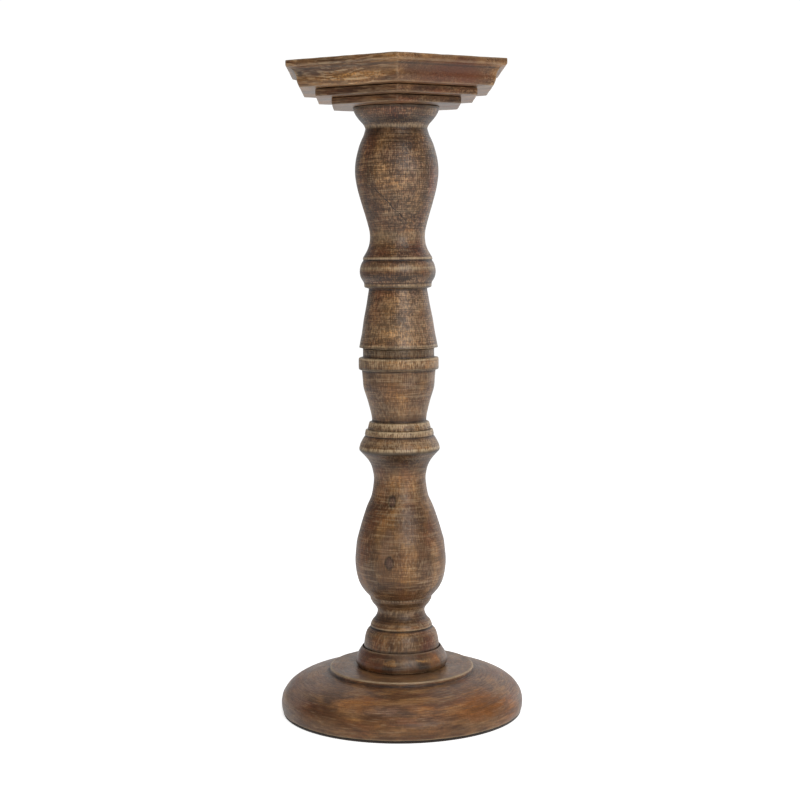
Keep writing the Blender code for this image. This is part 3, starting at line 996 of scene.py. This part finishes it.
LOWER_STEM = dict(
    PLAIN, pith=(-12, 38), seed=7.7, tan=0.6, gold=0.45, grey=0.2, speckle=0.5, lines=0.42, ticks=0.4,
    cloudy=0.35, tint=(1.1, 0.98, 0.84), grit=(0.25, 0.6), dashes=0.9, stitches=0.6, glints=0.3,
    notched=0.2, gloss=0.36, coat=0.06,
    dark=(
        ((0, -22, 181), (26, 26, 6), 0.8), ((-21, -10, 146), (9, 16, 14), 0.45),
        ((-5, -30, 96), (26, 26, 6), 0.7), ((-24, -18, 122), (9, 16, 20), 0.25),
        ((0, 24, 150), (20, 14, 18), 0.7), ((0, -18, 212), (24, 24, 5), 0.5),
    ),
    golden=(
        ((-2, -18, 165), (9, 10, 12), 0.75), ((-15, -12, 157), (7, 10, 8), 0.5),
        ((-2, -22, 149), (7, 10, 8), 0.45), ((8, -17, 163), (5, 10, 10), 0.5),
        ((0, -31, 104), (24, 16, 12), 0.35), ((0, -25, 226), (16, 12, 8), 0.35),
        ((0, -28, 250), (26, 12, 4), 0.35),
    ),
    ruddy=(
        ((-14, -12, 174), (9, 10, 8), 0.45), ((20, -20, 130), (8, 14, 16), 0.5),
        ((-16, -20, 52), (9, 12, 8), 0.5), ((18, -18, 50), (9, 12, 8), 0.4),
        ((-22, 10, 112), (14, 16, 20), 0.4),
    ),
    orange=(((27, -14, 118), (9, 16, 24), 0.35), ((-27, -14, 116), (8, 16, 20), 0.2)),
    greyish=(
        ((-11, -28, 124), (7, 14, 20), 0.45), ((8, -24, 141), (6, 12, 18), 0.25),
        ((16, -27, 109), (6, 10, 7), 0.35), ((7, -24, 236), (6, 8, 6), 0.6),
        ((0, -15, 71), (16, 14, 4), 0.4), ((2, -26, 52), (9, 8, 6), 0.4),
    ),
    knots=(
        ((-6, -23, 154), (3.6, 12, 5.4), 1.0), ((-8, -31, 112), (3.8, 12, 5.8), 1.0),
        ((14, 24, 128), (4.5, 8, 6), 0.9), ((-8, 24, 214), (3, 8, 4), 0.8),
    ),
    combed=(
        ((6, -31, 112), (26, 14, 8), 0.9), ((-18, -26, 106), (10, 12, 6), 0.9),
        ((8, -17, 163), (6, 10, 12), 1.0), ((0, -26, 250), (40, 40, 7), 1.0),
        ((0, -23, 203), (40, 40, 6), 1.0), ((0, -20, 72), (30, 30, 5), 0.9),
        ((0, -22, 53), (40, 40, 9), 0.9), ((0, -24, 258), (40, 40, 4), 1.0),
    ),
    pale_bands=(
        (257.6, 2.6, 0.5), (253.6, 1.0, 0.8), (250.2, 3.6, 0.35), (246.6, 0.9, 0.3), (240, 5, 0.12),
        (218, 8, 0.16), (207.6, 1.4, 0.6), (202.4, 1.0, 0.4), (201.2, 2.8, 0.75), (206.4, 3.2, 0.6),
        (194.5, 4, 0.3), (190.0, 1.8, 1.2), (163, 14, 0.1), (82.8, 1.0, 0.3), (73.6, 2.6, 0.2),
        (64.4, 1.2, 0.2), (61.9, 0.8, 0.25), (127, 9, 0.05),
    ),
    dark_bands=(
        (258.5, 5, 0.5), (246.2, 1.5, 0.62), (188, 2.5, 0.6), (181, 11, 0.42), (204.4, 0.8, 0.3),
        (209.5, 1.6, 0.35), (198.4, 1.1, 0.18), (108, 14, 0.08), (90, 6, 0.2), (79, 4, 0.4),
        (68.2, 3.2, 0.42), (60.8, 1.5, 0.5), (46.6, 2.2, 0.6),
    ),
    gritty=(
        ((0, 0, 250), (60, 60, 7), 1.9), ((0, 0, 258), (60, 60, 5), 2.0), ((0, 0, 203), (60, 60, 8), 2.2),
        ((0, 0, 72), (60, 60, 5), 1.1), ((6, -31, 106), (26, 14, 8), 0.9), ((0, 0, 190), (60, 60, 4), 1.1),
        ((0, 0, 228), (60, 60, 24), 0.9), ((-2, -18, 165), (26, 14, 12), 0.8),
    ),
    light=(
        ((7, -20, 158), (5, 12, 13), 0.7), ((0, -25, 225), (28, 14, 20), 0.35),
        ((0, -26, 192), (30, 20, 5), 0.4), ((0, -30, 122), (14, 16, 24), 0.15),
    ),
)

FOOT_RING = dict(
    PLAIN, pith=(4, 26), seed=12.3, tan=0.5, gold=0.2, red=0.7, broad=1.2, ticks=0.1, wear=0.2, cloudy=0.8,
    tint=(1.08, 0.94, 0.82), grit=(0.1, 0.4), dashes=0.4, stitches=0.1, grains=0.2, glints=0.1,
    dark=(((-5, -31, 36), (12, 9, 3), 0.8), ((12, -29, 36), (8, 9, 3), 0.6)),
    golden=(((-7, -31, 40), (9, 8, 1.6), 1.0), ((13, -29, 41), (7, 8, 1.6), 1.0)),
    ruddy=(((-27, -10, 40), (12, 18, 10), 1.0), ((0, -30, 34), (20, 10, 3), 0.4)),
    orange=(
        ((23, -22, 38), (7, 10, 10), 1.0), ((5, -31, 36), (7, 8, 4), 0.5),
        ((-20, -24, 35), (8, 8, 4), 0.5),
    ),
    greyish=(((-2, -28, 44), (16, 10, 4), 0.5), ((-2, -31, 36), (9, 8, 3), 0.6)),
    pale_bands=((41.5, 2.5, 0.1), (33.2, 1.0, 0.3)),
    dark_bands=((46.8, 1.0, 0.3), (36.2, 2.6, 0.25)),
)

BASE_DISC = dict(
    PLAIN, pith=(-30, -40), rings=0.1, seed=21.9, lathe="disc", grain=((0, 1, 0), (0, 0, 1), (1, 0, 0)),
    stretch=0.25, tan=0.75, gold=0.3, red=0.4, grey=0.2, fibre=0.75, broad=0.75, speckle=0.5, ticks=0.0,
    wear=0.4, cloudy=0.5, tint=(1.21, 1.03, 0.88), grit=(0.4, 0.9), dashes=0.4, stitches=0.0, grains=0.3,
    relief=0.05, glints=0.0, darkest=0.7, rub=0.75, gloss=0.34, coat=0.06,
    dark=(
        ((-52, -60, 16), (22, 24, 10), 0.5), ((56, -58, 18), (30, 28, 10), 1.3),
        ((2, -83, 16), (14, 6, 3), 0.45), ((17, -83, 13), (12, 6, 3), 0.35),
        ((-40, -30, 28), (22, 20, 4), 0.4),
    ),
    golden=(
        ((0, -84, 6), (60, 14, 6), 0.35), ((-34, -67, 21), (24, 14, 6), 0.75),
        ((-18, -76, 19), (14, 10, 4), 0.45), ((60, -56, 8), (30, 26, 8), 0.3),
        ((68, -26, 24), (14, 20, 6), 0.35), ((14, -78, 20), (12, 6, 3), 0.35),
    ),
    ruddy=(
        ((-46, -58, 14), (20, 18, 8), 0.1), ((0, 0, 31), (50, 50, 2), 0.35),
        ((4, -84, 11), (16, 6, 3), 0.5),
    ),
    orange=(
        ((-30, -69, 21), (26, 14, 5), 0.7), ((54, -58, 18), (36, 32, 10), 1.3),
        ((70, -42, 10), (20, 26, 10), 0.6), ((14, -76, 20), (18, 10, 4), 0.4),
        ((-20, 70, 20), (30, 14, 8), 0.5),
    ),
    greyish=(
        ((-74, -36, 18), (20, 26, 14), 1.0), ((-62, -30, 25), (20, 26, 8), 0.8),
        ((-13, -79, 19), (20, 8, 5), 0.55), ((72, -12, 24), (16, 26, 10), 0.4),
        ((6, -77, 21), (9, 6, 3), 0.4),
    ),
    pale_bands=((32.0, 0.7, 0.45),),
    dark_bands=((5, 10, 0.3), (33.2, 1.2, 0.2)),
    light=(((22, -76, 19), (18, 12, 4), 0.9), ((-34, -66, 21), (16, 12, 4), 0.4)),
)

TOP_BOARD = dict(
    BOARD, pith=(-20, -34), rings=0.45, seed=31.7, gold=0.55, red=0.3, broad=0.45, lines=0.6, ticks=0.3,
    wear=0.2, cloudy=0.5, tint=(1.13, 0.96, 0.75), grit=(0.1, 0.45), grains=1.0, glints=0.7,
    dark=(
        ((-66, -46, 446), (9, 10, 4), 1.0), ((-4, -80, 449), (3, 6, 1.6), 1.0),
        ((-5, -74, 443), (4, 6, 1.6), 1.0), ((30, -70, 452), (60, 30, 2), 0.3),
        ((44, -60, 447), (50, 40, 16), 0.55),
    ),
    golden=(((-36, -64, 447), (36, 24, 6), 0.25),),
    ruddy=(((40, -60, 446), (46, 34, 14), 0.95), ((60, -10, 447), (30, 40, 12), 0.4)),
    knots=(((-66, -46, 447), (4.5, 8, 3), 0.8), ((52, 66, 446), (6, 9, 3), 0.8)),
    dark_bands=((450.6, 0.9, 0.5),),
    gritty=(((-42, -64, 447), (44, 34, 14), 1.0), ((-14, -69, 444), (18, 12, 5), 1.5)),
    calm=(((32, -64, 447), (62, 48, 24), 1.0),),
    light=(((-14, -69, 444), (17, 12, 5), 0.6), ((-48, -58, 447), (40, 30, 10), 0.2)),
)

MIDDLE_BOARD = dict(
    BOARD, pith=(16, -40), seed=37.3, gold=0.4, red=0.6, broad=0.7, ticks=0.2, wear=0.15, cloudy=0.7,
    tint=(1.16, 1.0, 0.9), grit=(0.2, 0.6),
    dark=(((-30, -46, 436), (30, 20, 5), 0.5),),
    ruddy=(((30, -46, 436), (30, 20, 5), 0.4),),
)

LOWER_BOARD = dict(
    BOARD, pith=(8, 30), seed=43.9, tan=0.6, gold=0.4, red=0.7, broad=0.7, ticks=0.2, wear=0.15,
    cloudy=0.8, tint=(1.12, 0.98, 0.88), grit=(0.2, 0.6),
    dark=(((20, -38, 431), (12, 12, 4), 0.8), ((-8, -44, 431), (6, 8, 3), 0.5)),
    golden=(((-14, -40, 431), (8, 8, 3), 0.6),),
    ruddy=(((6, -44, 430), (14, 10, 4), 0.6),),
)


def peg_wood():
    g = Graph("pale_peg_wood")
    fibre = g.noise(g.place, (900, 900, 40), 3.0, 0.6)
    bands = g.noise(g.place, (260, 260, 6), 2.0, 0.5, shift=4)
    colour = g.mix(g.remap(bands, 0.35, 0.65), srgb(171, 131, 86), srgb(205, 170, 122))
    colour = g.scaled(colour, g.remap(fibre, 0.3, 0.7, 0.82, 1.08))
    return g.finish(colour, g.remap(fibre, 0.3, 0.7, 0.72, 0.55), fibre, 0.15 * MM)


def felt_cloth():
    g = Graph("brown_felt")
    fuzz = g.noise(g.place, 2600, 4.0, 0.75)
    tangle = g.noise(g.place, (700, 900, 800), 3.0, 0.7, shift=2)
    mottled = g.noise(g.place, 40, 2.0, shift=6)
    colour = g.mix(g.remap(fuzz * 0.5 + tangle * 0.5, 0.36, 0.62), srgb(30, 24, 20), srgb(64, 52, 43))
    colour = g.scaled(colour, g.remap(mottled, 0.3, 0.7, 0.85, 1.1))
    roughness = g.remap(tangle, 0.3, 0.7, 0.88, 1.0)
    height = fuzz * 0.6 + tangle * 0.6
    return g.finish(colour, roughness, height, 0.4 * MM, Sheen_Weight=0.35, Sheen_Roughness=0.5)


def zinc_steel():
    g = Graph("zinc_plated_steel")
    spangle = g.noise(g.place, 420, 3.0, 0.6)
    scratch = g.noise(g.place, (3000, 3000, 300), 2.0, 0.6, shift=5)
    colour = g.mix(g.remap(spangle, 0.35, 0.65), srgb(168, 170, 168), srgb(206, 205, 198))
    roughness = 0.24 + spangle * 0.16 + scratch * 0.12
    return g.finish(colour, roughness, scratch, 0.06 * MM, Metallic=1.0)


# ---------------------------------------------------------------- assembly


def dress(piece, node, material):
    """Give a piece its material and let it stand for its CAD node."""
    piece.data.materials.append(material)
    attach(piece, "root")
    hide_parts(node)
    return piece


def pin_bores(low, high):
    return [(-PIN_OFFSET, PIN_HOLE, low, high), (PIN_OFFSET, PIN_HOLE, low, high)]


def build_stand():
    felt = dress(felt_disc(), "felt_pad", felt_cloth())

    disc = turned_ring("turned_base", "base_disc", BASE_SEGMENTS, 5.3, skin=BASE_SKIN)
    dress(disc, "base_disc", stained_wood("base_disc_wood", BASE_DISC))
    ring = turned_ring("turned_foot_ring", "foot_ring", RING_SEGMENTS, 8.1, skin=BASE_SKIN)
    dress(ring, "foot_ring", stained_wood("foot_ring_wood", FOOT_RING))
    lower = turned_stem("turned_lower_stem", "lower_spindle", 11.9)
    dress(lower, "lower_spindle", stained_wood("lower_stem_wood", LOWER_STEM))
    bores = [*pin_bores(PIN_FLOOR, 1.0), (0, SCREW_HOLE, SCREW_FLOOR, 1.0)]
    upper = turned_stem("turned_upper_stem", "upper_spindle", 17.3, bores)
    dress(upper, "upper_spindle", stained_wood("upper_stem_wood", UPPER_STEM))

    bores = [*pin_bores(*THROUGH), (0, SCREW_HOLE, *THROUGH)]
    board = hexagonal_board("lower_board", "hex_plate_lower", 23.1, bores)
    dress(board, "hex_plate_lower", stained_wood("lower_board_wood", LOWER_BOARD))
    bores = [*pin_bores(*THROUGH), (0, SCREW_HEAD_HOLE, *THROUGH)]
    board = hexagonal_board("middle_board", "hex_plate_middle", 29.7, bores)
    dress(board, "hex_plate_middle", stained_wood("middle_board_wood", MIDDLE_BOARD))
    board = hexagonal_board("moulded_top_board", "hex_top_plate", 33.3, pin_bores(0.0, PIN_CEILING))
    dress(board, "hex_top_plate", stained_wood("top_board_wood", TOP_BOARD))

    pale_wood = peg_wood()
    for name, node, flutes, depth, offset in (
        ("fluted_dowel", "spindle_dowel", 12, 0.5 * MM, 0.0),
        ("left_pin", "top_pin_left", 6, 0.25 * MM, -PIN_OFFSET),
        ("right_pin", "top_pin_right", 6, 0.25 * MM, PIN_OFFSET),
    ):
        dress(wooden_peg(name, node, flutes, depth, offset), node, pale_wood)

    steel = zinc_steel()
    washer = turned_ring("pressed_washer", "base_washer", STEM_SEGMENTS, softness=0.15 * MM)
    dress(washer, "base_washer", steel)
    dress(coach_screw(), "base_screw", steel)
    dress(countersunk_screw(), "top_screw", steel)


# ---------------------------------------------------------------- studio


def softbox(name, place, aim, width, height, radiance, colour=(1, 1, 1)):
    """A rectangular area light that faces a point, as bright as its radiance."""
    lamp = bpy.data.lights.new(name, "AREA")
    lamp.shape = "RECTANGLE"
    lamp.size = width
    lamp.size_y = height
    lamp.energy = radiance * math.pi * width * height
    lamp.color = colour
    light = bpy.data.objects.new(name, lamp)
    facing = (Vector(aim) - Vector(place)).to_track_quat("-Z", "Y").to_matrix().to_4x4()
    light.matrix_world = Matrix.Translation(place) @ facing
    light.visible_camera = False
    bpy.context.scene.collection.objects.link(light)


def white_world(front, back, brightest):
    """Plain white behind the stand; its light is dim at the front and bright towards one direction."""
    world = bpy.data.worlds.new("white_studio")
    bpy.context.scene.world = world
    world.use_nodes = True
    tree = world.node_tree
    heading = tree.nodes.new("ShaderNodeVectorMath")
    heading.operation = "DOT_PRODUCT"
    heading.inputs[1].default_value = Vector(brightest).normalized()
    tree.links.new(tree.nodes.new("ShaderNodeTexCoord").outputs["Generated"], heading.inputs[0])
    lighting = tree.nodes.new("ShaderNodeMapRange")
    lighting.interpolation_type = "SMOOTHSTEP"
    for socket, value in (("From Min", 0.1), ("From Max", 0.95), ("To Min", front), ("To Max", back)):
        lighting.inputs[socket].default_value = value
    tree.links.new(heading.outputs["Value"], lighting.inputs["Value"])
    strength = tree.nodes.new("ShaderNodeMapRange")
    strength.inputs["To Max"].default_value = 1.05
    tree.links.new(lighting.outputs["Result"], strength.inputs["To Min"])
    tree.links.new(tree.nodes.new("ShaderNodeLightPath").outputs["Is Camera Ray"], strength.inputs["Value"])
    background = tree.nodes["Background"]
    background.inputs["Color"].default_value = (1, 1, 1, 1)
    tree.links.new(strength.outputs["Result"], background.inputs["Strength"])


def pale_floor():
    radius = 1.5
    mesh = bpy.data.meshes.new("studio_floor")
    rim = [around(math.pi * k / 48) * radius for k in range(96)]
    mesh.from_pydata(rim, [], [tuple(range(96))])
    floor = bpy.data.objects.new("studio_floor", mesh)
    bpy.context.scene.collection.objects.link(floor)
    material = bpy.data.materials.new("pale_floor")
    material.use_nodes = True
    shader = material.node_tree.nodes["Principled BSDF"]
    shader.inputs["Base Color"].default_value = (0.9, 0.9, 0.9, 1)
    shader.inputs["Roughness"].default_value = 0.9
    shader.inputs["Specular IOR Level"].default_value = 0.1
    shader.inputs["Emission Color"].default_value = (1, 1, 1, 1)
    strength = material.node_tree.nodes.new("ShaderNodeMapRange")
    strength.inputs["To Min"].default_value = 0.42
    strength.inputs["To Max"].default_value = 0.72
    is_camera = material.node_tree.nodes.new("ShaderNodeLightPath").outputs["Is Camera Ray"]
    material.node_tree.links.new(is_camera, strength.inputs["Value"])
    material.node_tree.links.new(strength.outputs["Result"], shader.inputs["Emission Strength"])
    mesh.materials.append(material)


def studio():
    white_world(0.17, 0.8, (0.5, 0.85, 0.1))
    pale_floor()
    middle = (0, 0, 0.24)
    softbox("front_softbox", (0.62, -1.6, 0.9), middle, 1.0, 1.0, 4.25)
    softbox("top_softbox", (0.1, -0.1, 1.6), middle, 1.2, 1.2, 1.3)
    softbox("right_strip", (1.0, 0.95, 0.55), middle, 0.4, 1.3, 1.05)
    softbox("left_strip", (-1.0, 0.95, 0.55), middle, 0.3, 1.3, 0.35)
    scene = bpy.context.scene
    scene.view_settings.view_transform = "Standard"
    scene.view_settings.look = "None"


def camera():
    data = bpy.data.cameras.new("camera")
    data.sensor_width = SENSOR_MM
    data.lens = CAMERA_LENS_MM
    data.clip_start = 0.05
    view = bpy.data.objects.new("camera", data)
    stand = Matrix.Rotation(CAMERA_AZIMUTH, 4, "Z") @ Vector((0, -CAMERA_DISTANCE, CAMERA_HEIGHT))
    view.matrix_world = (
        Matrix.Translation(stand)
        @ Matrix.Rotation(CAMERA_AZIMUTH - CAMERA_PAN, 4, "Z")
        @ Matrix.Rotation(math.pi / 2 - CAMERA_PITCH, 4, "X")
        @ Matrix.Rotation(CAMERA_ROLL, 4, "Z")
    )
    bpy.context.scene.collection.objects.link(view)
    bpy.context.scene.camera = view


build_stand()
studio()
camera()
